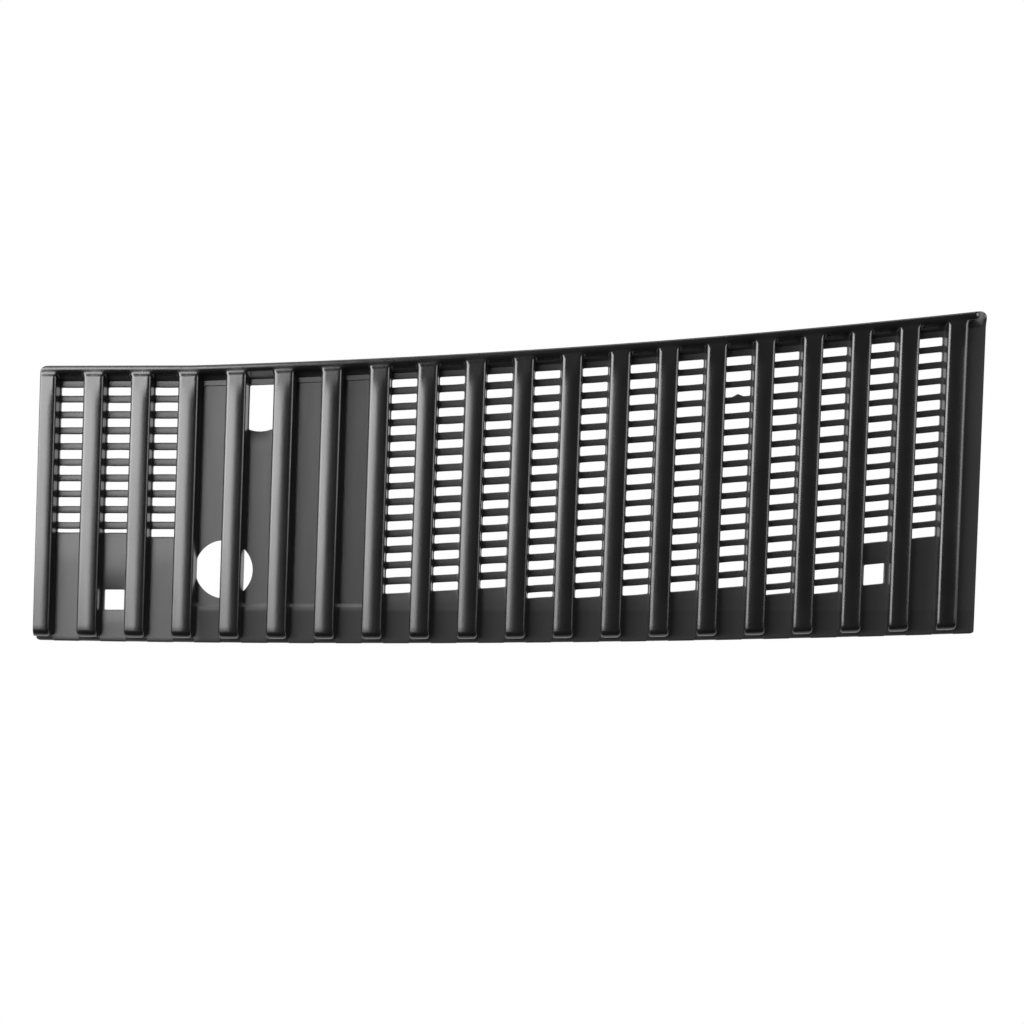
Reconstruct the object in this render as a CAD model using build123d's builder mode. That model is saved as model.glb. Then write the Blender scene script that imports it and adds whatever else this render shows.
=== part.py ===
from build123d import *

import math
import os

# A black plastic vent panel for the rear of a car bonnet, moulded in one piece.
# X runs along the panel, Y towards its rear edge, Z out of its visible face.
# Places are given by a column, the distance along X before the lean is added, and by how far they
# stand in front of the rear edge or behind the front edge. Heights are above the floor of the bays.

# Layout of the bays and ribs
bay_count = 19
bay_pitch = 24.0
rib_width = 10.8
rib_height = 8.0
rib_draft = 2.0
left_margin = 3.2
flange_width = 10.1
lean = 2.0
crown_radius = 9000.0

# Outline
left_depth = 139.0
rear_turn_column = -155.0
rear_slope = 0.0271
rear_radius = 4780.0
rear_turn_radius = 400.0
front_bow = 2.8
front_rise = 4.0
corner_radius = 3.5
front_corner_radius = 1.5

# Sections
floor_thickness = 2.5
skirt_depth = 3.0
wall = 2.2
rim_width = 3.4
rim_slope = 4.2
rim_edge = 1.0
edge_radius = 1.8
bay_corner_radius = 2.4
toe_width = 2.6
nose_length = 4.0
nose_drop = 4.4
brow_length = 1.3
brow_drop = 1.4

# Slots
row_pitch = 8.0
slot_width = 12.6
first_row_drop = 12.5
first_slot_drop = 10.7
narrow_bay = 8
slot_height_narrow = 4.2
slot_growth = 0.2
slot_height_left = 5.8
slot_height_right = 5.0
least_slot_height = 1.5
slot_limit = 22.8
slot_limits = {0: 55.2, 1: 55.2, 2: 53.4, 17: 47.0, 18: 47.0}

# Blank panels and holes
blank_bays = range(3, 7)
blank_depth = 1.2
blank_drop = 10.0
blank_rise = 18.4
blank_ramp = 1.0
window_bay = 4
window_height = 22.8
window_bow = 1.2
clip_hole = 11.0
clip_holes = {1: 21.3, 17: 31.5}
spindle_radius = 14.7
spindle_rib = 4
spindle_offset = -4.7
spindle_rise = 37.2

# Tools for cutting: how far above the ribs a brim lies, and how thick it is
brim_gap = 0.02
brim_height = 1.0

# Worked out from the sizes above
lean_run = math.tan(math.radians(lean))
draft_run = math.tan(math.radians(rib_draft))
half_length = bay_count * bay_pitch / 2
left_column = -half_length - left_margin
right_column = half_length + rib_width / 2 + flange_width
bay_width = bay_pitch - rib_width
top = rib_height
underside = -floor_thickness
foot = underside - skirt_depth
crown_sag = right_column**2 / (2 * crown_radius)
through = rib_height + floor_thickness + skirt_depth + 2 * crown_sag


def rear_y(column):
    """Rear edge: straight at the left, then a long arc that rises to the right."""
    run = max(0.0, column - rear_turn_column)
    return left_depth + rear_slope * run + run**2 / (2 * rear_radius)


def front_y(column):
    """Front edge: a shallow bow between its two ends."""
    share = (column - left_column) / (right_column - left_column)
    return front_rise * share - 4 * front_bow * share * (1 - share)


def leaned(column, y):
    """Point of the plan: every column leans to the right towards the rear."""
    return (column + (y - left_depth / 2) * lean_run, y)


def behind(column, drop):
    """Point a given distance in front of the rear edge."""
    return leaned(column, rear_y(column) - drop)


def ahead(column, rise):
    """Point a given distance behind the front edge."""
    return leaned(column, front_y(column) + rise)


def bay_column(bay):
    return (bay - (bay_count - 1) / 2) * bay_pitch


def rib_column(rib):
    return bay_column(rib) - bay_pitch / 2


def crown_z(column):
    """Height of the bay floor above its highest line."""
    return math.sqrt(crown_radius**2 - column**2) - crown_radius


def above_crown(point):
    """Height of a point above the bay floor."""
    return point.Z - crown_z(point.X - (point.Y - left_depth / 2) * lean_run)


def crowned(low, high):
    """Band between two heights that follows the crown, with one flat from each rib line to the next."""
    columns = [rib_column(rib) for rib in range(-1, bay_count + 3)]
    with BuildPart() as band:
        with BuildSketch(Plane.XZ.offset(-left_depth / 2)):
            upper = [(column, crown_z(column) + high) for column in columns]
            lower = [(column, crown_z(column) + low) for column in reversed(columns)]
            Polygon(*upper, *lower, align=None)
        extrude(amount=2 * left_depth, dir=(lean_run, 1, 0), both=True)
    return band.part


def rim_edges(part, height):
    """Outer edges of a part at a height, without the joints between its flats."""
    level = part.edges().filter_by(lambda e: abs(above_crown(e.center()) - height) < 0.05)
    return level.filter_by(lambda e: not e.is_interior)


def outline():
    """Plan outline of the panel."""
    middle = (rear_turn_column + right_column) / 2
    with BuildSketch() as plan:
        with BuildLine():
            straight = Line(behind(left_column, 0), behind(rear_turn_column, 0))
            rise = ThreePointArc(straight @ 1, behind(middle, 0), behind(right_column, 0))
            Line(rise @ 1, ahead(right_column, 0))
            ThreePointArc(ahead(right_column, 0), ahead(0, 0), ahead(left_column, 0))
            Line(ahead(left_column, 0), straight @ 0)
        make_face()
        fillet(plan.vertices().sort_by_distance(behind(rear_turn_column, 0))[0], rear_turn_radius)
        for column in (left_column, right_column):
            fillet(plan.vertices().sort_by_distance(behind(column, 0))[0], corner_radius)
            fillet(plan.vertices().sort_by_distance(ahead(column, 0))[0], front_corner_radius)
    return plan.sketch


def slot_height(bay):
    """Slots are lowest at one bay and grow to either side, up to a limit for each side."""
    highest = slot_height_left if bay < narrow_bay else slot_height_right
    return min(highest, slot_height_narrow + slot_growth * abs(bay - narrow_bay))


def slot(bay, drop, height):
    """Slot with sides along the ribs and ends parallel to the rear edge."""
    left = bay_column(bay) - slot_width / 2
    right = bay_column(bay) + slot_width / 2
    Polygon(
        behind(left, drop),
        behind(left, drop + height),
        behind(right, drop + height),
        behind(right, drop),
        align=None,
    )


def bay_plan(bay, half_width, drop):
    """Plan of a bay that runs out past the front edge, and past the right edge beside the last rib."""
    left = bay_column(bay) - half_width
    right = bay_column(bay) + half_width
    if bay == bay_count:
        right += flange_width
    return Polygon(
        behind(left, drop),
        ahead(left, -toe_width),
        ahead(right, -toe_width),
        behind(right, drop),
        align=None,
        mode=Mode.PRIVATE,
    )


def bay_cutter(bay):
    """Space of one bay from the floor up, with a brim that rounds the edges of its ribs."""
    column = bay_column(bay)
    level = crown_z(column)
    slope = math.atan((rear_y(column + 1) - rear_y(column - 1)) / 2)
    x, y = behind(column, rim_width)
    rear_wall = Plane(
        origin=(x, y, level),
        x_dir=(math.sin(slope), -math.cos(slope), 0),
        z_dir=(-math.cos(slope), -math.sin(slope), 0),
    )
    run = rim_slope / rib_height
    beyond = right_column + flange_width / 2
    with BuildPart() as cutter:
        with BuildSketch(Plane.XZ.offset(-left_depth / 2)):
            low = bay_width / 2 - 2 * brim_height * draft_run
            high = bay_width / 2 + (rib_height + 3 * brim_height) * draft_run
            far = flange_width if bay == bay_count else 0
            Polygon(
                (column - low, level - 2 * brim_height),
                (column + low + far, level - 2 * brim_height),
                (column + high + far, level + rib_height + 3 * brim_height),
                (column - high, level + rib_height + 3 * brim_height),
                align=None,
            )
        extrude(amount=left_depth, dir=(lean_run, 1, 0), both=True)
        with BuildSketch(rear_wall):
            Polygon(
                (-run * 4 * brim_height, rib_height + 4 * brim_height),
                (rim_slope + run * 4 * brim_height, -4 * brim_height),
                (-left_depth, -4 * brim_height),
                (-left_depth, rib_height + 4 * brim_height),
                align=None,
            )
        extrude(amount=2 * bay_pitch, both=True, mode=Mode.SUBTRACT)
        corners = cutter.faces().sort_by_distance(rear_wall.origin)[0].edges().sort_by(SortBy.LENGTH)
        corners = [e for e in corners if abs(e.tangent_at(0.5).Z) > 0.5 and e.center().X < beyond]
        fillet(corners, bay_corner_radius)
    with BuildPart() as brim:
        with BuildSketch():
            add(bay_plan(bay, bay_width / 2 + edge_radius + 1, rim_width - edge_radius - 0.5))
        extrude(amount=through, both=True)
        add(crowned(top + brim_gap, top + brim_height), mode=Mode.INTERSECT)
    with BuildPart() as bay_space:
        add(cutter.part)
        add(brim.part)
        walls = bay_space.faces().filter_by(lambda f: above_crown(f.center()) < top and abs(f.normal_at().Z) < 0.6)
        walls = walls.filter_by(lambda f: f.normal_at().Y > -0.9 and f.center().X < beyond)
        mouth = walls.edges().filter_by(
            lambda e: abs(above_crown(e.center()) - top - brim_gap) < 0.05 and e.center().X < beyond
        )
        fillet(mouth, edge_radius)
    return bay_space.part


def blank(bay):
    """Recess of a blank panel, with a ramp at its front."""
    column = bay_column(bay)
    left = column - bay_width / 2
    right = column + bay_width / 2
    level = crown_z(column)
    ramp = front_y(column) + blank_rise
    with BuildPart() as recess:
        with BuildSketch():
            Polygon(
                behind(left, blank_drop),
                ahead(left, blank_rise - blank_ramp),
                ahead(right, blank_rise - blank_ramp),
                behind(right, blank_drop),
                align=None,
            )
        extrude(amount=through, both=True)
        with BuildSketch(Plane.YZ.offset(column)):
            Polygon(
                (2 * left_depth, level + brim_height),
                (2 * left_depth, level - blank_depth),
                (ramp + blank_ramp, level - blank_depth),
                (ramp, level),
                (ramp, level + brim_height),
                align=None,
            )
        extrude(amount=bay_pitch, both=True, mode=Mode.INTERSECT)
    return recess.part


# Strip in front of the ribs, and the blunt tops of their noses
with BuildPart() as noses:
    with BuildSketch():
        with BuildLine():
            toe = ThreePointArc(
                ahead(left_column - rib_width, toe_width),
                ahead(0, toe_width),
                ahead(right_column + rib_width, toe_width),
            )
            Polyline(
                toe @ 1,
                ahead(right_column + rib_width, -bay_pitch),
                ahead(left_column - rib_width, -bay_pitch),
                toe @ 0,
            )
        make_face()
    extrude(amount=through, both=True)
    for rib in range(bay_count + 1):
        x, y = ahead(rib_column(rib), toe_width)
        crest = crown_z(rib_column(rib)) + top
        with BuildSketch(Plane.YZ.offset(x)):
            Polygon(
                (y, crest - nose_drop),
                (y + brow_length, crest - brow_drop),
                (y + nose_length, crest),
                (y + nose_length, crest + through),
                (y - bay_pitch, crest + through),
                (y - bay_pitch, crest - nose_drop),
                align=None,
            )
        extrude(amount=bay_pitch / 2, both=True)

# Toes in front of the ribs, out to the front edge
with BuildPart() as toes:
    with BuildSketch():
        for rib in range(bay_count + 1):
            left = rib_column(rib) - rib_width / 2
            right = rib_column(rib) + rib_width / 2
            Polygon(
                ahead(left, toe_width),
                ahead(left, -toe_width),
                ahead(right, -toe_width),
                ahead(right, toe_width),
                align=None,
            )
        add(outline(), mode=Mode.INTERSECT)
    extrude(amount=through, both=True)
    add(crowned(underside, 0), mode=Mode.INTERSECT)

# Recesses of the blank panels
with BuildPart() as blanks:
    for bay in blank_bays:
        add(blank(bay))

# Hollow of the underside, and the hollow in each rib
with BuildPart() as hollows:
    with BuildSketch():
        add(outline())
        offset(amount=-wall, kind=Kind.INTERSECTION)
    extrude(amount=through, both=True)
    add(crowned(-through, underside), mode=Mode.INTERSECT)

with BuildPart() as rib_hollows:
    with BuildSketch():
        for rib in range(bay_count + 1):
            left = max(left_column, rib_column(rib) - rib_width / 2) + wall
            right = rib_column(rib) + rib_width / 2 - wall
            Polygon(
                behind(left, rim_width + wall),
                ahead(left, toe_width + wall),
                ahead(right, toe_width + wall),
                behind(right, rim_width + wall),
                align=None,
            )
    extrude(amount=through, both=True)
    add(crowned(-through, top - wall), mode=Mode.INTERSECT)

# Slots, row by row from the rear edge
with BuildPart() as slots:
    with BuildSketch():
        for bay in range(bay_count):
            if bay in blank_bays:
                continue
            column = bay_column(bay)
            height = slot_height(bay)
            last_drop = rear_y(column) - front_y(column) - slot_limits.get(bay, slot_limit)
            for row in range(math.ceil(last_drop / row_pitch)):
                middle = first_row_drop + row * row_pitch
                start = max(first_slot_drop, middle - height / 2)
                end = min(last_drop, middle + height / 2)
                if end - start >= least_slot_height:
                    slot(bay, start, end - start)
    extrude(amount=through, both=True)

# Square clip holes, the window, and the round hole that passes under its rib
with BuildPart() as holes:
    with BuildSketch():
        for bay, rise in clip_holes.items():
            centre = ahead(bay_column(bay), rise)
            with Locations(centre):
                Rectangle(clip_hole, clip_hole, rotation=-lean)
        left = bay_column(window_bay) - slot_width / 2
        right = bay_column(window_bay) + slot_width / 2
        middle = (left + right) / 2
        window_end = blank_drop + window_height
        with BuildLine():
            Polyline(
                behind(left, window_end),
                behind(left, blank_drop),
                behind(right, blank_drop),
                behind(right, window_end),
            )
            ThreePointArc(
                behind(right, window_end),
                behind(middle, window_end + window_bow),
                behind(left, window_end),
            )
        make_face()
    extrude(amount=through, both=True)

with BuildPart() as spindle_hole:
    with BuildSketch():
        centre = ahead(rib_column(spindle_rib) + spindle_offset, spindle_rise)
        with Locations(centre):
            Circle(spindle_radius)
    extrude(amount=through, both=True)
    add(crowned(-through, 0), mode=Mode.INTERSECT)

# Ribs and rim
with BuildPart() as ribs:
    with BuildSketch():
        add(outline())
    extrude(amount=through, both=True)
    add(crowned(0, top), mode=Mode.INTERSECT)
    chamfer(rim_edges(ribs, top), rim_edge)
    for bay in range(bay_count + 1):
        add(bay_cutter(bay), mode=Mode.SUBTRACT)
    add(noses.part, mode=Mode.SUBTRACT)

# Floor and skirt under the ribs
with BuildPart() as vent_grille:
    with BuildSketch():
        add(outline())
    extrude(amount=through, both=True)
    add(crowned(foot, 0), mode=Mode.INTERSECT)
    front = rim_edges(vent_grille, 0).filter_by(lambda e: e.center().Y < left_depth / 2)
    chamfer(front.filter_by(lambda e: abs(e.tangent_at(0.5).Y) < 0.5), rim_edge)
    add(toes.part)
    add(ribs.part)
    add(hollows.part, mode=Mode.SUBTRACT)
    add(rib_hollows.part, mode=Mode.SUBTRACT)
    add(blanks.part, mode=Mode.SUBTRACT)
    add(holes.part, mode=Mode.SUBTRACT)
    add(spindle_hole.part, mode=Mode.SUBTRACT)
    add(slots.part, mode=Mode.SUBTRACT)

# The origin is under the middle of the panel, at its lowest line
box = vent_grille.part.bounding_box()
placed = Pos(-box.center().X, -box.center().Y, -box.min.Z) * vent_grille.part
placed.label = "vent_grille"
os.makedirs("parts", exist_ok=True)
export_step(placed, "parts/vent_grille.step")
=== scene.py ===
import math
import random

import bmesh
import bpy
from mathutils import Matrix, Vector
from mathutils.geometry import delaunay_2d_cdt


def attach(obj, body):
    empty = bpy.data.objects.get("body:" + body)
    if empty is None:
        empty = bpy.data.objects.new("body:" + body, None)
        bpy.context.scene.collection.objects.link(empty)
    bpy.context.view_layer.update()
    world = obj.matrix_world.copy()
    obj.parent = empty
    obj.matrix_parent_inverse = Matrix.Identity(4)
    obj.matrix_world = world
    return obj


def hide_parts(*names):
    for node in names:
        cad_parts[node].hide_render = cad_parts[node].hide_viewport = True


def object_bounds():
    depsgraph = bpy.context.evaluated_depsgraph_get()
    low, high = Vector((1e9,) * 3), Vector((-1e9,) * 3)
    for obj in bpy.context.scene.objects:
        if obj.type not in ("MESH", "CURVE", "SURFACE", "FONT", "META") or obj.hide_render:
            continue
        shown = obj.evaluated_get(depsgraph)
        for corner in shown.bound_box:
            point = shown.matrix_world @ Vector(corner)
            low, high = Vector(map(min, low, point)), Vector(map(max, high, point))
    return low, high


# The vent panel seen from above, as in the photograph, on a bright floor.
# Sizes of the panel are in millimetres. A place on it is given by its column along the panel, its y
# towards the rear edge and its height above the floor of the bays. The sizes are those of the part's
# source, apart from what follows the photograph more closely here: the heights of the slots, the clip
# holes, the steps and ramps of the blank bays, the rounding of toes, corners and edges, the groove in
# front of the rim, the end of the rim, the waves of the slats and the lump of flash in one slot.

millimetre = 0.001

# Layout and outline
bay_count = 19
bay_pitch = 24.0
rib_width = 10.8
rib_height = 8.0
rib_draft = 2.0
left_margin = 3.2
flange_width = 10.1
lean = 2.0
crown_radius = 9000.0
left_depth = 139.0
rear_turn_column = -155.0
rear_slope = 0.0271
rear_radius = 4780.0
front_bow = 2.8
front_rise = 4.0
corner_radius = 3.5
front_corner_radius = 1.5

# Sections of the ribs, the rim and the front edge. The tops of the ribs sag towards their sides, and
# a lip is the rounding of the front edge.
floor_thickness = 2.5
skirt_depth = 3.0
wall = 2.2
rim_width = 3.4
rim_slope = 4.2
rim_edge = 1.0
edge_radius = 1.8
toe_width = 2.6
nose_length = 4.0
nose_drop = 4.4
nose_corner = 2.2
rib_sag = 0.32
sag_start = 8.0
sag_end = 20.0
foot_corner = 0.4
corner_growth = 0.22
groove_drop = 3.7
groove_half = 2.2
groove_depth = 0.3
groove_reach = 0.8
bay_lip = 1.0
toe_lip = 2.4
flange_end_round = 7.0
flange_end_share = 0.2

# Slots, recesses and holes. Bays, ribs and rows are counted from 0, from the left and from the rear.
row_pitch = 8.0
slot_width = 12.6
first_row_drop = 12.5
first_slot_drop = 10.7
narrow_bay = 8
slot_height_narrow = 4.2
slot_growth = 0.2
slot_height_left = 5.8
slot_height_right = 5.0
least_slot_height = 1.5
slot_limit = 22.8
slot_limits = {0: 55.2, 1: 55.2, 2: 53.4, 17: 47.0, 18: 47.0}
slot_corner = 0.6
slat_round = 0.55
slat_round_depth = 0.5
slot_end_round = 0.15
slot_wave = 0.14
burr_slot = (14, 2)
burr_height = 1.3
burr_reach = 0.25
blank_bays = range(3, 7)
blank_depth = 1.2
blank_drop = 10.0
blank_step = 0.3
blank_rise = 18.4
blank_ramp = 1.7
window_bay = 4
window_height = 22.8
window_bow = 1.2
clip_hole = 10.3
clip_holes = {1: 21.3, 17: 31.5}
hole_round = 0.25
spindle_radius = 14.7
spindle_rib = 4
spindle_offset = -4.7
spindle_rise = 37.2
spindle_gap = 0.02

# How much wider the slats are than in the source: in some bays, and in all right of the narrowest
slat_widening = {0: 1.3, 1: 1.4, 2: 1.2}
right_widening = 0.25

# Worked out from the sizes above
lean_run = math.tan(math.radians(lean))
draft_run = math.tan(math.radians(rib_draft))
rim_run = rim_slope / rib_height
crown_share = 0.5 / (crown_radius * millimetre)
half_length = bay_count * bay_pitch / 2
left_column = -half_length - left_margin
right_column = half_length + rib_width / 2 + flange_width
bay_width = bay_pitch - rib_width
rim_foot = rim_width + rim_slope
underside = -floor_thickness
foot = underside - skirt_depth
rib_half = rib_width / 2
last_side_drop = rim_foot + rim_edge
rim_reach = rim_foot - rim_edge

# Middle of the part's box and its lowest point, in the source's coordinates
part_origin = (6.5853, 82.4167, -8.8019)

# Fineness of the mesh
weld_distance = 0.000002
stitch_gap = 0.00006
sharp_angle = 32
place_digits = 3
sheet_gap = 0.00001
line_gap = 0.01
toe_gap = 0.2
chord_gap = 0.001
arc_gap = 0.05
end_share = 0.001
nose_steps = 9
arc_steps = 6
top_steps = 5
profile_rounds = 4
corner_steps = 20
rear_steps = 4
slot_steps = 4
slot_corner_steps = 2
hole_edge_steps = 3
edge_steps = 4
flange_steps = 6
flange_end_steps = 7
spindle_steps = 72

# Fineness put to use
level_count = 1 + arc_steps + 1 + top_steps
edge_level = 1 + arc_steps
edge_turns = [math.pi / 2 * i / edge_steps for i in range(edge_steps + 1)]
half_corner = corner_steps // 2
corner_drops = [
    last_side_drop + (rim_edge - last_side_drop) * i * 2 / corner_steps for i in range(half_corner + 1)
]
flange_ends = [right_column - (flange_end_round - i) for i in range(flange_end_steps + 1)]


def rear_y(column):
    run = max(0.0, column - rear_turn_column)
    return left_depth + rear_slope * run + run**2 / (2 * rear_radius)


def front_y(column):
    share = (column - left_column) / (right_column - left_column)
    return front_rise * share - 4 * front_bow * share * (1 - share)


def bay_column(bay):
    return (bay - (bay_count - 1) / 2) * bay_pitch


def rib_column(rib):
    return bay_column(rib) - bay_pitch / 2


def smooth(value, low, high):
    share = min(1.0, max(0.0, (value - low) / (high - low)))
    return share * share * (3 - 2 * share)


def squeeze(side, end, radius):
    """Draws a square corner of the plan in to a round one."""
    if side >= radius or end >= radius:
        return side, end
    u = 1 - side / radius
    v = 1 - end / radius
    return radius * (1 - u * math.sqrt(1 - v * v / 2)), radius * (1 - v * math.sqrt(1 - u * u / 2))


def groove(column, y, height):
    """Depth of the shallow groove that sets the rear rim off from the tops of the ribs."""
    aside = abs(rear_y(column) - y - groove_drop)
    across = smooth(groove_half - aside, 0, groove_half)
    up = smooth(height, rib_height - groove_reach, rib_height)
    return groove_depth * across * up


def placed(column, y, height):
    """Place of a point of the panel, in millimetres, before it is centred."""
    height -= groove(column, y, height)
    level = math.sqrt(crown_radius**2 - column**2) - crown_radius
    from_left = column - left_column
    from_right = right_column - column
    from_rear = rear_y(column) - y
    from_front = y - front_y(column)
    if from_rear < corner_radius:
        if from_left < corner_radius:
            a, b = squeeze(from_left, from_rear, corner_radius)
            column, y = left_column + a, y + from_rear - b
        elif from_right < corner_radius:
            a, b = squeeze(from_right, from_rear, corner_radius)
            column, y = right_column - a, y + from_rear - b
    elif from_front < front_corner_radius:
        if from_left < front_corner_radius:
            a, b = squeeze(from_left, from_front, front_corner_radius)
            column, y = left_column + a, y - from_front + b
        elif from_right < front_corner_radius:
            a, b = squeeze(from_right, from_front, front_corner_radius)
            column, y = right_column - a, y - from_front + b
    return (column + (y - left_depth / 2) * lean_run, y, level + height)


class Shell:
    """Mesh under construction. Points that are the same place are made once."""

    def __init__(self):
        self.numbers = {}
        self.places = []
        self.faces = []

    def point(self, column, y, height):
        key = tuple(round(value, place_digits) for value in (column, y, height))
        if key not in self.numbers:
            self.numbers[key] = len(self.places)
            self.places.append(placed(column, y, height))
        return self.numbers[key]

    def face(self, corners):
        ring = []
        for corner in corners:
            number = self.point(*corner)
            if number not in ring:
                ring.append(number)
        if len(ring) > 2:
            self.faces.append(ring)

    def strip(self, first, second):
        for i in range(len(first) - 1):
            self.face((first[i], first[i + 1], second[i + 1], second[i]))

    def strips(self, rows):
        for first, second in zip(rows, rows[1:]):
            self.strip(first, second)

    def loops(self, rings):
        self.strips([ring + ring[:1] for ring in rings])

    def sheet(self, border, holes, lines, height):
        """Flat or stepped region inside a border, less its holes, with edges kept along the lines."""
        points = []
        edges = []
        rings = []
        for ring in [border] + holes:
            start = len(points)
            points += [Vector(p[:2]) for p in ring]
            rings.append(list(range(start, start + len(ring))))
        for line in lines:
            start = len(points)
            points += [Vector(p[:2]) for p in line]
            edges += [(start + i, start + i + 1) for i in range(len(line) - 1)]
        made, _, faces, _, _, sources = delaunay_2d_cdt(points, edges, rings, 1, sheet_gap)
        for face, source in zip(faces, sources):
            if source == [0]:
                self.face([(made[i].x, made[i].y, height(made[i].x, made[i].y)) for i in face])


def floor_height(bay):
    """Height of a bay's floor as a function of the place. The blank bays have a recess."""

    def height(column, y):
        if bay not in blank_bays:
            return 0.0
        drop = rear_y(column) - y
        rise = y - front_y(column)
        step = min(1.0, max(0.0, (drop - blank_drop) / blank_step))
        ramp = min(1.0, max(0.0, (rise - blank_rise) / blank_ramp))
        return -blank_depth * min(step, ramp)

    return height


# Stations along a rib: distances behind the toe, shares of the middle, distances from the rear edge
nose_stations = [
    nose_length * (1 - math.cos(math.pi / 2 * i / nose_steps)) for i in range(nose_steps + 1)
]
front_stations = [toe_width + d for d in nose_stations] + [9.0, blank_rise, blank_rise + blank_ramp]
middle_shares = [0.2, 0.4, 0.6, 0.8]
rear_stations = [24.0, 20.0, 17.0, 14.5, 12.5, 11.2, blank_drop + blank_step, blank_drop, 9.3]
rear_stations.append(last_side_drop)


def station_rows(rib):
    """Functions of the column that give the y of each station of a rib, from the front."""
    rows = [(lambda c, d=d: front_y(c) + d) for d in front_stations]
    low = front_stations[-1]
    high = rear_stations[0]
    for share in middle_shares:
        rows.append(lambda c, s=share: (front_y(c) + low) * (1 - s) + (rear_y(c) - high) * s)
    rows += [(lambda c, d=d: rear_y(c) - d) for d in rear_stations]
    if rib == spindle_rib:
        for side in (-1, 1):
            rows += [(lambda c, y=y: y) for y in chord_ends(side)]
        rows.sort(key=lambda row: row(rib_column(rib)))
    return rows


def chord_ends(side):
    """Both y where the spindle hole meets one side of its rib."""
    column = rib_column(spindle_rib) + spindle_offset
    middle = front_y(column) + spindle_rise
    away = rib_column(spindle_rib) + side * rib_half - column
    square = 1 + lean_run**2
    half = away * lean_run
    reach = math.sqrt(half**2 - square * (away**2 - spindle_radius**2))
    return middle - (half + reach) / square, middle + (reach - half) / square


def spindle_rings(side):
    """Rings of the part of the spindle hole at one side of its rib."""
    column = rib_column(spindle_rib) + spindle_offset
    middle = front_y(column) + spindle_rise
    line = rib_column(spindle_rib) + side * rib_half
    low, high = chord_ends(side)
    chord = [(line, row(line)) for row in station_rows(spindle_rib)]
    chord = [p for p in chord if low - chord_gap < p[1] < high + chord_gap]
    arc = []
    for i in range(spindle_steps):
        turn = 2 * math.pi * (i + 0.5) / spindle_steps - side * math.pi / 2
        y = middle + spindle_radius * math.sin(turn)
        place = column + spindle_radius * math.cos(turn) - (y - middle) * lean_run
        place = max(place, rib_column(spindle_rib - 1) + rib_half + spindle_gap)
        if (place - line) * side > arc_gap:
            arc.append((place, y))
    arc.sort(key=lambda p: -math.atan2(p[1] - middle, (p[0] - line) * side))
    ring = (chord + arc)[::-side]
    return [[(c, y, height) for c, y in ring] for height in (-blank_depth, underside)]


def profile(run, reach, sag):
    """Section of a wall from its foot up and over to the middle of its rib: outward run and height."""
    angle = math.atan(run)
    edge_reach = edge_radius
    for _ in range(profile_rounds):
        tilt = math.atan(2 * sag / (reach - edge_reach))
        centre_height = rib_height - sag - edge_radius * math.cos(tilt)
        centre_reach = centre_height * run + edge_radius / math.cos(angle)
        edge_reach = centre_reach - edge_radius * math.sin(tilt)
    points = [(0.0, 0.0)]
    start = math.pi - angle
    end = math.pi / 2 + tilt
    for i in range(arc_steps + 1):
        turn = start + (end - start) * i / arc_steps
        across = centre_reach + edge_radius * math.cos(turn)
        points.append((across, centre_height + edge_radius * math.sin(turn)))
    last_reach, last_height = points[-1]
    for i in range(1, top_steps + 1):
        share = i / top_steps
        rise = (rib_height - last_height) * (1 - (1 - share) ** 2)
        points.append((last_reach + (reach - last_reach) * share, last_height + rise))
    return points


def nose(rise):
    """Share of the rib's height and the rounding of its sides at a distance behind the front edge."""
    behind = rise - toe_width
    share = 1.0
    if behind < nose_length:
        arc = math.sqrt(max(0.0, 1 - ((nose_length - behind) / nose_length) ** 2))
        share = (rib_height - nose_drop * (1 - arc)) / rib_height
    pull = 0.0
    if behind < nose_corner:
        pull = nose_corner * (1 - math.sqrt(max(0.0, 1 - ((nose_corner - behind) / nose_corner) ** 2)))
    return share, pull


def side_point(column, outward, level, row):
    """Point on the wall beside a bay, at one level of its section and one station."""
    rough = row(column)
    sag = rib_sag * smooth(rear_y(column) - rough, sag_start, sag_end)
    share, pull = nose(rough - front_y(column))
    reach, height = profile(draft_run, rib_half, sag)[level]
    reach = pull + reach * (rib_half - pull) / rib_half
    place = column + outward * reach
    return (place, row(place), height * share)


def corner_points(column, outward, level):
    """Points round a rear corner of a bay, from its side to its rear wall."""
    side = profile(draft_run, rib_half, 0.0)
    rear = profile(rim_run, rim_reach, 0.0)
    wanted = min(level, edge_level)
    side_reach, side_height = side[wanted]
    rear_reach, rear_height = rear[wanted]
    radius = foot_corner + corner_growth * side_height + max(0.0, side_reach - side_height * draft_run)
    centre = column + outward * (side_reach - radius)
    centre_drop = rim_foot - rear_reach + radius
    found = []
    for i in range(corner_steps + 1):
        turn = math.pi / 2 * i / corner_steps
        place = centre + outward * radius * math.cos(turn)
        drop = centre_drop - radius * math.sin(turn)
        height = side_height + (rear_height - side_height) * math.sin(turn) ** 2
        if level > edge_level:
            share = (level - edge_level) / top_steps
            rib = column + outward * rib_half
            if i <= half_corner:
                goal = rib
                goal_drop = corner_drops[i]
            else:
                along = (i - half_corner) / half_corner
                edge_end = column + outward * (side[edge_level][0] - corner_round())
                goal = rib + (edge_end - rib) * along
                goal_drop = rim_edge
            place += (goal - place) * share
            drop += (goal_drop - drop) * share
            height += (rib_height - height) * (1 - (1 - share) ** 2)
        found.append((place, rear_y(place) - drop, height))
    return found


def corner_round():
    """Radius of a bay's rear corner at the edge of the rib's top."""
    reach, height = profile(draft_run, rib_half, 0.0)[edge_level]
    return foot_corner + corner_growth * height + reach - height * draft_run


def flange_end(column, height):
    """The rim's end at the right is rounded down."""
    share = smooth(right_column - column, 0.0, flange_end_round)
    return height * (flange_end_share + (1 - flange_end_share) * share)


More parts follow.
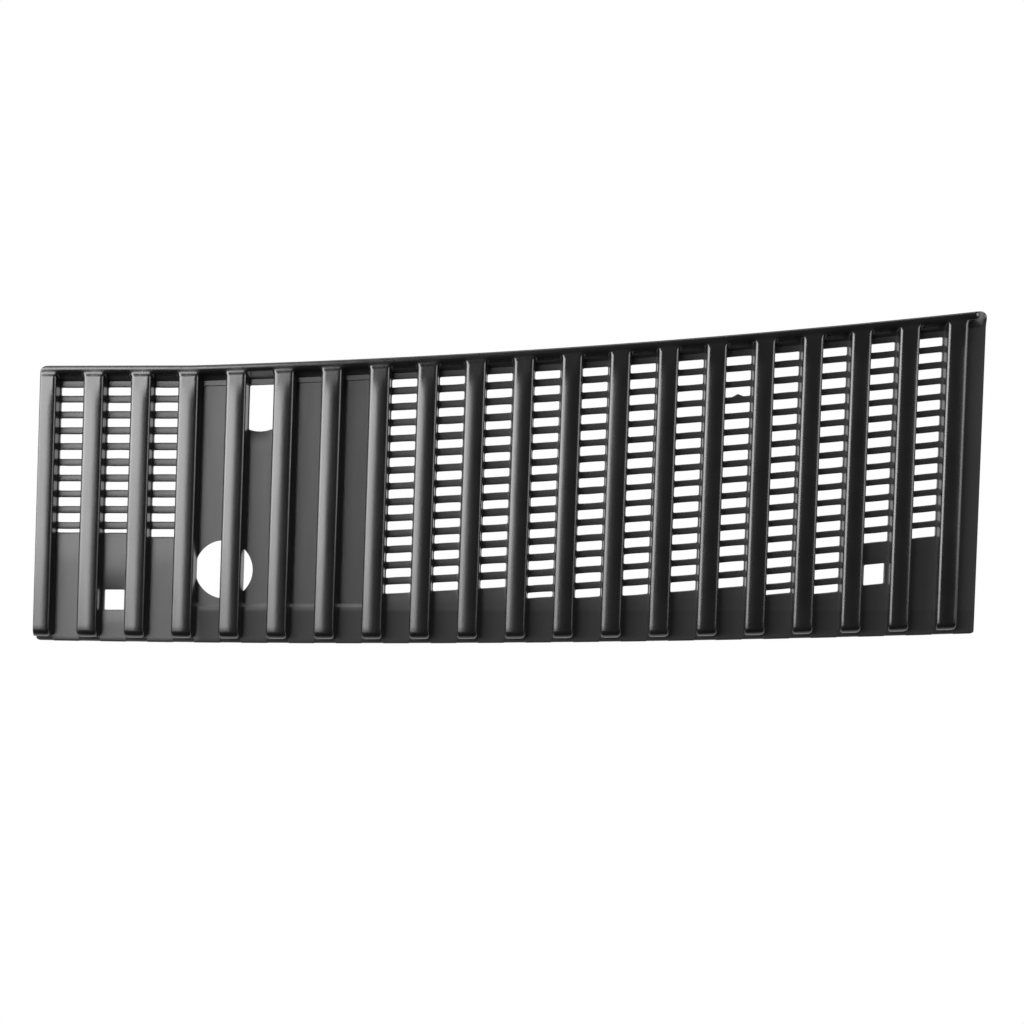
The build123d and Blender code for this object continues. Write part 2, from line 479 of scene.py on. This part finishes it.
def bay_walls(bay):
    """Levels of the walls round a bay, each from the front up the left, across and down the right."""
    height = floor_height(bay)
    left = bay_column(bay) - bay_width / 2
    right = bay_column(bay) + bay_width / 2
    levels = []
    for level in range(level_count):
        points = [side_point(left, -1, level, row) for row in station_rows(bay)]
        corner = corner_points(left, -1, level)
        points += corner
        start = corner[-1]
        drop = rear_y(start[0]) - start[1]
        if bay < bay_count:
            other = corner_points(right, 1, level)[::-1]
            end = other[0][0]
            for i in range(1, rear_steps):
                place = start[0] + (end - start[0]) * i / rear_steps
                points.append((place, rear_y(place) - drop, start[2]))
            points += other
            points += [side_point(right, 1, level, row) for row in station_rows(bay + 1)[::-1]]
        else:
            middle = (start[0] + flange_ends[0]) / 2
            for place in [middle] + flange_ends:
                points.append((place, rear_y(place) - drop, flange_end(place, start[2])))
        if level == 0:
            points = [(c, y, h + height(c, y)) for c, y, h in points]
        levels.append(points)
    return levels


def slot_loop(centre, half, start, end, grow_side, grow_end, depth, wave, bow, burr):
    """Ring of points round a slot whose ends are parallel to the rear edge."""
    radius = slot_corner + grow_end
    right = half + grow_side
    top = start - grow_end
    bottom = end + grow_end
    ring = []

    def corner(side, at, turn_from):
        for i in range(slot_corner_steps + 1):
            turn = turn_from + math.pi / 2 * i / slot_corner_steps
            ring.append((side + radius * math.cos(turn), at - radius * math.sin(turn)))

    corner(right - radius, top + radius, 0.0)
    for i in range(1, slot_steps):
        ring.append((right - radius + 2 * (radius - right) * i / slot_steps, top))
    corner(-right + radius, top + radius, math.pi / 2)
    corner(-right + radius, bottom - radius, math.pi)
    for i in range(1, slot_steps):
        ring.append((-right + radius + 2 * (right - radius) * i / slot_steps, bottom))
    corner(right - radius, bottom - radius, 3 * math.pi / 2)
    points = []
    for across, drop in ring:
        share = 1 - (across / right) ** 2
        near_end = drop > (start + end) / 2
        drop += wave[1 if near_end else 0] * share + (bow * share if near_end else 0.0)
        if near_end and abs(across) < half * burr_reach:
            drop -= burr
        column = centre + across
        points.append((column, rear_y(column) - drop, depth))
    return points


def hole_rings(
    centre, half, start, end, round_end, round_side, round_depth, top, wave=(0, 0), bow=0.0, burr=0.0
):
    """Rings of a hole from the top surface over its rounded edge and down to the underside."""
    rings = []
    for i in range(hole_edge_steps + 1):
        turn = math.pi / 2 * i / hole_edge_steps
        share = 1 - math.sin(turn)
        grow_side = round_side * share
        grow_end = round_end * share
        depth = top - round_depth * (1 - math.cos(turn))
        rings.append(slot_loop(centre, half, start, end, grow_side, grow_end, depth, wave, bow, burr))
    rings.append(slot_loop(centre, half, start, end, 0.0, 0.0, underside, wave, bow, burr))
    return rings


def bay_holes(bay):
    """Rings of all the holes of a bay."""
    chance = random.Random(bay)
    column = bay_column(bay)
    holes = []
    if bay in blank_bays or bay == bay_count:
        if bay == window_bay:
            start = blank_drop + blank_step + hole_round
            end = blank_drop + window_height
            half = slot_width / 2
            holes.append(
                hole_rings(
                    column, half, start, end, hole_round / 2, slot_end_round, hole_round, -blank_depth,
                    bow=window_bow,
                )
            )
        if bay == spindle_rib - 1:
            holes.append(spindle_rings(-1))
        if bay == spindle_rib:
            holes.append(spindle_rings(1))
        return holes
    highest = slot_height_left if bay < narrow_bay else slot_height_right
    height = min(highest, slot_height_narrow + slot_growth * abs(bay - narrow_bay))
    height -= slat_widening.get(bay, right_widening if bay > narrow_bay else 0.0)
    last_drop = rear_y(column) - front_y(column) - slot_limits.get(bay, slot_limit)
    for row in range(math.ceil(last_drop / row_pitch)):
        middle = first_row_drop + row * row_pitch
        start = max(first_slot_drop, middle - height / 2)
        end = min(last_drop, middle + height / 2)
        if end - start < least_slot_height:
            continue
        wave = (chance.uniform(-slot_wave, slot_wave), chance.uniform(-slot_wave, slot_wave))
        burr = burr_height if (bay, row) == burr_slot else 0.0
        holes.append(
            hole_rings(
                column, slot_width / 2, start, end, slat_round, slot_end_round, slat_round_depth, 0.0,
                wave=wave, burr=burr,
            )
        )
    if bay in clip_holes:
        middle = rear_y(column) - front_y(column) - clip_holes[bay]
        half = clip_hole / 2
        start = middle - half
        end = middle + half
        holes.append(hole_rings(column, half, start, end, hole_round, hole_round, hole_round, 0.0))
    return holes


def lip_columns(low, high):
    """Columns along the front edge of a bay, close together where the rib's toe ends."""
    left = low + rib_half
    right = high - rib_half
    middle = (left + right) / 2
    return [low, left - toe_gap, left + toe_gap, middle, right - toe_gap, right + toe_gap, high]


def lip_depth(bay, column):
    """Rounding of the front edge: small on the toes of the ribs, larger on the floor between them."""
    if abs(column - bay_column(bay)) < bay_width / 2 or column > rib_column(bay_count) + rib_half:
        return bay_lip
    return toe_lip


def lip_rows(bay, columns):
    """Rows of points over the rounded front edge and down to the foot."""
    made = []
    for turn in edge_turns:
        row = []
        for column in columns:
            size = lip_depth(bay, column)
            rise = size * (1 - math.sin(turn))
            row.append((column, front_y(column) + rise, size * (math.cos(turn) - 1)))
        made.append(row)
    made.insert(0, [(column, front_y(column) + toe_lip, 0.0) for column in columns])
    made.append([(column, front_y(column), foot) for column in columns])
    return made


def inner(point):
    """Point of the skirt's inner face beside a point of the outline."""
    column = min(right_column - wall, max(left_column + wall, point[0]))
    y = min(rear_y(column) - wall, max(front_y(column) + wall, point[1]))
    return (column, y, point[2])


def raised(points, height):
    """The same points at one height."""
    return [(c, y, height) for c, y, _ in points]


def outer_wall(shell, upper):
    """Outside of the panel below a line of points, its foot, and the inside of its skirt."""
    low = raised(upper, foot)
    inside = [inner(p) for p in low]
    under = raised(inside, underside)
    shell.strips([upper, low, inside, under])
    return under


def rear_edge_rows(points):
    """Rows over the rounded rear edge, from the inner line of the rim's top."""
    made = [points]
    for turn in edge_turns[1:]:
        row = []
        for column, y, height in points:
            drop = rim_edge * (1 - math.sin(turn))
            fall = rim_edge * (1 - math.cos(turn)) * height / rib_height
            row.append((column, rear_y(column) - drop, height - fall))
        made.append(row)
    made.append([(c, y, 0.0) for c, y, _ in made[-1]])
    return made


def front_columns(bay):
    """Columns along the front edge of a bay, or of the flange."""
    low = rib_column(bay)
    if bay < bay_count:
        return lip_columns(low, rib_column(bay + 1))
    toe_end = low + rib_half
    return [low, toe_end - toe_gap, toe_end + toe_gap] + flange_ends


def floor_border(bay, walls, noses, lips):
    """Border of a bay's floor: its front edge, up the right, across the rear and down the left."""
    border = list(lips[0])
    if bay < bay_count:
        high = rib_column(bay + 1)
        border.append((high, front_y(high) + toe_width, 0.0))
        border += raised(noses[1][::-1], 0.0)[1:]
        border += walls[0][::-1][1:]
    else:
        border += flange_side(walls[0][-1][1])
        border += walls[0][::-1]
    return border + raised(noses[0], 0.0)[1:]


def step_lines(bay):
    """Lines where the step and the ramp of a blank bay's recess begin and end."""
    lines = []
    if bay in blank_bays:
        left = rib_column(bay) + rib_half
        right = rib_column(bay + 1) - rib_half
        for drop in (blank_drop, blank_drop + blank_step):
            lines.append([(left, rear_y(left) - drop), (right, rear_y(right) - drop)])
        for rise in (blank_rise, blank_rise + blank_ramp):
            lines.append([(left, front_y(left) + rise), (right, front_y(right) + rise)])
    return lines


def build_shell():
    """The whole panel, bay by bay from the left, and then its left end."""
    shell = Shell()
    for bay in range(bay_count + 1):
        walls = bay_walls(bay)
        shell.strips(walls)
        holes = bay_holes(bay)
        for rings in holes:
            shell.loops(rings)
        noses = [[level[0] for level in walls]]
        if bay < bay_count:
            noses.append([level[-1] for level in walls])
        for section in noses:
            shell.strip(section, raised(section, 0.0))
        lips = lip_rows(bay, front_columns(bay))
        shell.strips(lips[:-1])
        outer_wall(shell, lips[-2])
        border = floor_border(bay, walls, noses, lips)
        shell.sheet(border, [rings[0] for rings in holes], step_lines(bay), floor_height(bay))
        rear_line = [p for p in walls[-1] if abs(rear_y(p[0]) - p[1] - rim_edge) < line_gap]
        rear_rows = rear_edge_rows(rear_line)
        shell.strips(rear_rows)
        under_rear = outer_wall(shell, rear_rows[-1])
        under_bay(shell, bay, lips[-1], under_rear, holes)
        if bay == bay_count:
            right_end(shell, walls, rear_rows)
        hollow(shell, bay)
    left_end(shell)
    return shell


def flange_side(rear_end):
    """Points up the right side of the flange's floor, from the front to the foot of the rim."""
    low = front_y(right_column) + toe_lip
    span = rear_end - low
    return [(right_column, low + span * i / flange_steps, 0.0) for i in range(1, flange_steps)]


def right_end(shell, walls, rear_rows):
    """Right side of the panel: the flange's edge and the end of the rim."""
    floor_end = walls[0][-1]
    front_end = front_y(right_column)
    side = [(right_column, front_end + toe_lip, 0.0)] + flange_side(floor_end[1]) + [floor_end]
    rim = [level[-1] for level in walls] + [row[-1] for row in rear_rows[1:]]
    shell.face(rim)
    corner = (right_column, front_end, -bay_lip)
    behind = (right_column, front_end + toe_lip, -bay_lip)
    front = [row[-1] for row in lip_rows(bay_count, [right_column])][:-1]
    shell.face(front + [behind])
    outer_wall(shell, [corner, behind])
    outer_ring = raised(side, foot)
    shell.face([side[0], side[1], outer_ring[1], outer_ring[0], behind])
    for i in range(1, len(side) - 1):
        shell.face([side[i], side[i + 1], outer_ring[i + 1], outer_ring[i]])
    end = raised([rear_rows[-1][-1]], foot)[0]
    shell.face([floor_end, (right_column, end[1], 0.0), end, outer_ring[-1]])
    outer_ring.append(end)
    inside = [inner(p) for p in outer_ring]
    shell.strips([outer_ring, inside, raised(inside, underside)])


def left_end(shell):
    """Left half of the first rib, with its rounded outer edge and its outer wall."""
    centre = rib_column(0)
    flat = left_column + rim_edge
    places = [centre, (centre + flat) / 2, flat]
    places += [flat - rim_edge * math.sin(turn) for turn in edge_turns[1:]]
    lines = [(row, None) for row in station_rows(0)]
    lines += [(None, drop) for drop in corner_drops[1:]]
    lines += [(None, rim_edge * (1 - math.sin(turn))) for turn in edge_turns[1:]]
    grid = []
    for row, drop in lines:
        made = []
        for column in places:
            y = row(column) if row else rear_y(column) - drop
            share = nose(y - front_y(column))[0] if row else 1.0
            side = max(0.0, flat - column)
            fall = rim_edge - math.sqrt(max(0.0, rim_edge**2 - side**2))
            if drop is not None and drop < rim_edge:
                back = rim_edge - math.sqrt(max(0.0, rim_edge**2 - (rim_edge - drop) ** 2))
                fall = max(fall, back)
            made.append((column, y, (rib_height - fall) * share))
        grid.append(made)
    shell.strips(grid)
    shell.strip(grid[0], raised(grid[0], 0.0))
    side = [made[-1] for made in grid]
    shell.strip(side, raised(side, 0.0))
    rear = grid[-1][::-1]
    shell.strip(rear, raised(rear, 0.0))
    lips = lip_rows(0, places)
    shell.strips(lips[:-1])
    shell.strip(raised(grid[0], 0.0), lips[0])
    front_side = [row[-1] for row in lips[:-1]]
    low_corner = (left_column, front_y(left_column) + toe_lip, -toe_lip)
    outer_ring = raised([low_corner, side[0]], foot)
    side_foot = raised([side[0]], 0.0)[0]
    shell.face(front_side + [low_corner])
    shell.face([front_side[0], side_foot, outer_ring[1], outer_ring[0], low_corner])
    outer_wall(shell, lips[-2])
    outer_wall(shell, [front_side[-1], low_corner])
    inside = [inner(p) for p in outer_ring]
    shell.strips([outer_ring, inside, raised(inside, underside)])
    outer_wall(shell, raised(side, 0.0))
    outer_wall(shell, raised(rear, 0.0))


def hollow_box(rib):
    """Left and right of the hollow in a rib."""
    low = max(left_column, rib_column(rib) - rib_half) + wall
    high = rib_column(rib) + rib_half - wall
    return low, high


def hollow_ends(column):
    """Front and rear of a hollow at one column."""
    return front_y(column) + toe_width + wall, rear_y(column) - rim_width - wall


def hollow(shell, rib):
    """Hollow of a rib, open below."""
    low, high = hollow_box(rib)
    centre = rib_column(rib)
    columns = [low, centre, high]
    front = [(column, hollow_ends(column)[0], underside) for column in columns]
    rear = [(column, hollow_ends(column)[1], underside) for column in columns]
    ring = front + rear[::-1]
    ceiling = rib_height - wall
    shell.loops([ring, raised(ring, ceiling)])
    shell.strip(raised(front, ceiling), raised(rear, ceiling))


def under_points(line, height):
    """Points of a line at one height, each place once."""
    kept = []
    for point in raised(line, height):
        if point not in kept:
            kept.append(point)
    return kept


def under_bay(shell, bay, front_line, rear_line, holes):
    """Underside between the middles of two ribs, round their hollows."""
    low = rib_column(bay)
    high = rib_column(bay + 1)
    front = [inner(p) for p in front_line]
    rear = rear_line
    if bay == 0:
        edge = left_column + wall
        front = [(edge, front_y(edge) + wall, underside)] + front
        rear = [(edge, rear_y(edge) - wall, underside)] + rear
    border = under_points(front, underside)
    if bay < bay_count:
        inside = hollow_box(bay + 1)[0]
        starts = [(column, hollow_ends(column)[0], underside) for column in (high, inside)]
        ends = [(column, hollow_ends(column)[1], underside) for column in (inside, high)]
        border += starts + ends
    border += under_points(rear, underside)[::-1]
    first, second = hollow_box(bay)
    columns = [first, low, second] if bay == 0 else [low, second]
    border += [(column, hollow_ends(column)[1], underside) for column in columns]
    border += [(column, hollow_ends(column)[0], underside) for column in columns[::-1]]
    shell.sheet(border, [rings[-1] for rings in holes], [], lambda c, y: underside)


def stitch(work):
    """Gives the open edges the points of their neighbours, so that the ends of the panel close."""
    edges = [edge for edge in work.edges if edge.is_boundary]
    points = {vert for edge in edges for vert in edge.verts}
    for edge in edges:
        start, end = edge.verts
        span = end.co - start.co
        found = []
        for vert in points:
            share = (vert.co - start.co).dot(span) / span.length_squared
            gap = (vert.co - start.co - span * share).length
            if end_share < share < 1 - end_share and gap < stitch_gap:
                found.append((share, vert.co.copy()))
        found.sort(key=lambda item: -item[0])
        length = 1.0
        for share, place in found:
            near = next(e for e in start.link_edges if e.other_vert(start) == end)
            end = bmesh.utils.edge_split(near, start, share / length)[1]
            end.co = place
            length = share
    bmesh.ops.remove_doubles(work, verts=work.verts, dist=weld_distance)


def make_vent(box_low, box_high):
    """The panel's mesh, kept inside the box of the CAD part."""
    shell = build_shell()
    places = []
    for place in shell.places:
        moved = [(value - start) * millimetre for value, start in zip(place, part_origin)]
        places.append([min(high, max(low, v)) for v, low, high in zip(moved, box_low, box_high)])
    mesh = bpy.data.meshes.new("vent_panel")
    mesh.from_pydata(places, [], shell.faces)
    work = bmesh.new()
    work.from_mesh(mesh)
    bmesh.ops.remove_doubles(work, verts=work.verts, dist=weld_distance)
    stitch(work)
    bmesh.ops.recalc_face_normals(work, faces=work.faces)
    work.to_mesh(mesh)
    work.free()
    mesh.shade_smooth()
    mesh.set_sharp_from_angle(angle=math.radians(sharp_angle))
    vent = bpy.data.objects.new("vent_panel", mesh)
    bpy.context.scene.collection.objects.link(vent)
    return vent


# Black plastic. Sheens are specular levels, and the pads are the duller floors at the front. These
# and all sizes and places from here on are in metres.
plastic_ior = 1.5
floor_level = 0.010
rib_level = 0.014
base_dark = 0.003
base_light = 0.008
# Painted light: the floors get a paler colour than the ribs, standing in for the light that falls on them
floor_painted_light = 0.02
tint_scale = 60.0
wave_depth = 0.00005
wave_stretch = 5.0
wave_scale = 150.0
grain_strength = 0.06
grain_depth = 0.0002
grain_scale = 1100.0
gloss_stretch = 4.0
gloss_scale = 90.0
roughness_low = 0.2
roughness_high = 0.3
floor_matt = 0.08
rib_sheen = 0.5
floor_sheen = 0.32
pad_sheen = 0.12
pad_x = -0.158
pad_y = -0.0675
pad_blend = 0.0015

# Camera fitted to the photograph
photo_size = 1024
focal_pixels = 1802.0
sensor_width = 36.0
camera_height = 0.9
camera_x = 0.01409
camera_y = 0.00158
camera_pitch = -1.172
camera_yaw = 0.784
camera_roll = 0.017

# Stage and lights. Each softbox has a place, a target, a width, a height and a radiance.
floor_half = 6.0
softboxes = {
    "softbox_left": ((-1.0, 0.2, 1.3), (-0.1, 0, 0), 0.75, 1.4, 11.5),
    "softbox_rear": ((-0.2, 1.5, 0.7), (0, 0, 0), 1.8, 0.8, 5.0),
    "softbox_left_low": ((-1.6, 0.2, 0.7), (-0.1, 0, 0), 0.8, 1.4, 6.0),
    "softbox_right": ((1.5, 0.25, 0.7), (0.1, 0, 0), 0.8, 1.2, 5.5),
}
front_glow = 0.012
rear_glow = 0.065
glow_start = -0.5
glow_end = 0.7


def make_camera(top):
    """Camera above the panel, tilted a little as in the photograph."""
    data = bpy.data.cameras.new("camera")
    data.sensor_width = sensor_width
    data.lens = focal_pixels * sensor_width / photo_size
    camera = bpy.data.objects.new("camera", data)
    bpy.context.scene.collection.objects.link(camera)
    turn = (
        Matrix.Rotation(math.radians(camera_roll), 4, "Z")
        @ Matrix.Rotation(math.radians(camera_pitch), 4, "X")
        @ Matrix.Rotation(math.radians(camera_yaw), 4, "Y")
    )
    camera.matrix_world = Matrix.Translation((camera_x, camera_y, top + camera_height)) @ turn
    bpy.context.scene.camera = camera


def make_floor():
    """White floor that gives its own light, as the photograph's background does."""
    half = floor_half
    corners = [(-half, -half, 0), (half, -half, 0), (half, half, 0), (-half, half, 0)]
    mesh = bpy.data.meshes.new("floor")
    mesh.from_pydata(corners, [], [(0, 1, 2, 3)])
    floor = bpy.data.objects.new("floor", mesh)
    bpy.context.scene.collection.objects.link(floor)
    material = bpy.data.materials.new("floor_white")
    material.use_nodes = True
    nodes = material.node_tree.nodes
    nodes.clear()
    glow = nodes.new("ShaderNodeEmission")
    glow.inputs["Color"].default_value = (1, 1, 1, 1)
    glow.inputs["Strength"].default_value = 1.0
    output = nodes.new("ShaderNodeOutputMaterial")
    material.node_tree.links.new(glow.outputs["Emission"], output.inputs["Surface"])
    mesh.materials.append(material)


def area_light(name, place, target, width, height, radiance):
    data = bpy.data.lights.new(name, "AREA")
    data.shape = "RECTANGLE"
    data.size = width
    data.size_y = height
    data.energy = radiance * math.pi * width * height
    light = bpy.data.objects.new(name, data)
    bpy.context.scene.collection.objects.link(light)
    light.location = place
    light.rotation_euler = (Vector(target) - Vector(place)).to_track_quat("-Z", "Y").to_euler()


def make_lights():
    """Softboxes, and a dim surround that is brighter towards the rear."""
    for name, (place, target, width, height, radiance) in softboxes.items():
        area_light(name, place, target, width, height, radiance)
    bpy.context.scene.view_settings.view_transform = "Standard"
    world = bpy.data.worlds.new("world")
    bpy.context.scene.world = world
    world.use_nodes = True
    background = world.node_tree.nodes["Background"]
    background.inputs["Strength"].default_value = 1.0
    nodes = world.node_tree.nodes
    links = world.node_tree.links
    place = nodes.new("ShaderNodeTexCoord")
    split = nodes.new("ShaderNodeSeparateXYZ")
    links.new(place.outputs["Generated"], split.inputs["Vector"])
    fade = nodes.new("ShaderNodeMapRange")
    fade.inputs["From Min"].default_value = glow_start
    fade.inputs["From Max"].default_value = glow_end
    fade.inputs["To Min"].default_value = front_glow
    fade.inputs["To Max"].default_value = rear_glow
    links.new(split.outputs["Y"], fade.inputs["Value"])
    links.new(fade.outputs["Result"], background.inputs["Color"])


def node(tree, kind, **values):
    """New node with the values of its inputs."""
    made = tree.nodes.new(kind)
    for name, value in values.items():
        made.inputs[name.replace("_", " ")].default_value = value
    return made


def noise(tree, place, stretch, scale):
    """Noise drawn out along the panel's ribs by the stretch."""
    links = tree.links
    mapping = node(tree, "ShaderNodeMapping", Scale=(1.0, 1.0 / stretch, 1.0))
    links.new(place, mapping.inputs["Vector"])
    made = node(tree, "ShaderNodeTexNoise", Scale=scale)
    links.new(mapping.outputs["Vector"], made.inputs["Vector"])
    return made.outputs["Fac"]


def graded(tree, place, low, high, start, end):
    """Node that goes from one value to another as its input goes from low to high."""
    made = node(tree, "ShaderNodeMapRange", From_Min=low, From_Max=high, To_Min=start, To_Max=end)
    tree.links.new(place, made.inputs["Value"])
    return made


def joined(tree, operation, first, second):
    """Output of a sum, product or maximum of two outputs."""
    made = tree.nodes.new("ShaderNodeMath")
    made.operation = operation
    tree.links.new(first, made.inputs[0])
    tree.links.new(second, made.inputs[1])
    return made.outputs["Value"]


def black_plastic():
    """Black plastic: glossier on the ribs, more matt on the floors, with grain, a mould's faint waves and
    painted light on the floors.
    """
    material = bpy.data.materials.new("black_plastic")
    material.use_nodes = True
    tree = material.node_tree
    links = tree.links
    shader = tree.nodes["Principled BSDF"]
    shader.inputs["IOR"].default_value = plastic_ior
    place = tree.nodes.new("ShaderNodeTexCoord").outputs["Object"]

    waves = node(tree, "ShaderNodeBump", Strength=1.0, Distance=wave_depth)
    links.new(noise(tree, place, wave_stretch, wave_scale), waves.inputs["Height"])
    grain = node(tree, "ShaderNodeBump", Strength=grain_strength, Distance=grain_depth)
    links.new(noise(tree, place, 1.0, grain_scale), grain.inputs["Height"])
    links.new(waves.outputs["Normal"], grain.inputs["Normal"])
    links.new(grain.outputs["Normal"], shader.inputs["Normal"])

    # Height without the crown, which tells the floors from the tops of the ribs
    split = tree.nodes.new("ShaderNodeSeparateXYZ")
    links.new(place, split.inputs["Vector"])
    square = joined(tree, "MULTIPLY", split.outputs["X"], split.outputs["X"])
    level = tree.nodes.new("ShaderNodeMath")
    level.operation = "MULTIPLY_ADD"
    level.inputs[1].default_value = crown_share
    links.new(square, level.inputs[0])
    links.new(split.outputs["Z"], level.inputs[2])
    level = level.outputs["Value"]

    tint = graded(tree, noise(tree, place, 1.0, tint_scale), 0.0, 1.0, base_dark, base_light)
    # Painted light: the floors are made paler than the tops of the ribs, in place of the light they catch
    painted_light_on_floors = graded(tree, level, floor_level, rib_level, floor_painted_light, 0.0)
    colour = joined(tree, "ADD", tint.outputs["Result"], painted_light_on_floors.outputs["Result"])
    links.new(colour, shader.inputs["Base Color"])

    sheen = graded(tree, level, floor_level, rib_level, floor_sheen, rib_sheen)
    behind = graded(tree, split.outputs["Y"], pad_y, pad_y + pad_blend, pad_sheen, floor_sheen)
    left = graded(tree, split.outputs["X"], pad_x, pad_x + pad_blend, floor_sheen, pad_sheen)
    floors = joined(tree, "MAXIMUM", behind.outputs["Result"], left.outputs["Result"])
    links.new(floors, sheen.inputs["To Min"])
    links.new(sheen.outputs["Result"], shader.inputs["Specular IOR Level"])

    gloss_noise = noise(tree, place, gloss_stretch, gloss_scale)
    gloss = graded(tree, gloss_noise, 0.0, 1.0, roughness_low, roughness_high)
    matt = graded(tree, level, floor_level, rib_level, floor_matt, 0.0)
    roughness = joined(tree, "ADD", gloss.outputs["Result"], matt.outputs["Result"])
    links.new(roughness, shader.inputs["Roughness"])
    return material


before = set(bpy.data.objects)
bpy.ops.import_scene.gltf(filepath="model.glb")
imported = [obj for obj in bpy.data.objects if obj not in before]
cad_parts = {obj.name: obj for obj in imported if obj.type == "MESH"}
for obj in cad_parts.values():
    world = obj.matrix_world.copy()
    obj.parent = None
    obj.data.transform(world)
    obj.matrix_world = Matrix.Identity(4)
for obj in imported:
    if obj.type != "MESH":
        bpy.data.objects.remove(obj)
cad_low, cad_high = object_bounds()

vent = make_vent(cad_low, cad_high)
vent.data.materials.append(black_plastic())
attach(vent, "root")
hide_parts("vent_grille")

make_camera(cad_high[2])
make_floor()
make_lights()
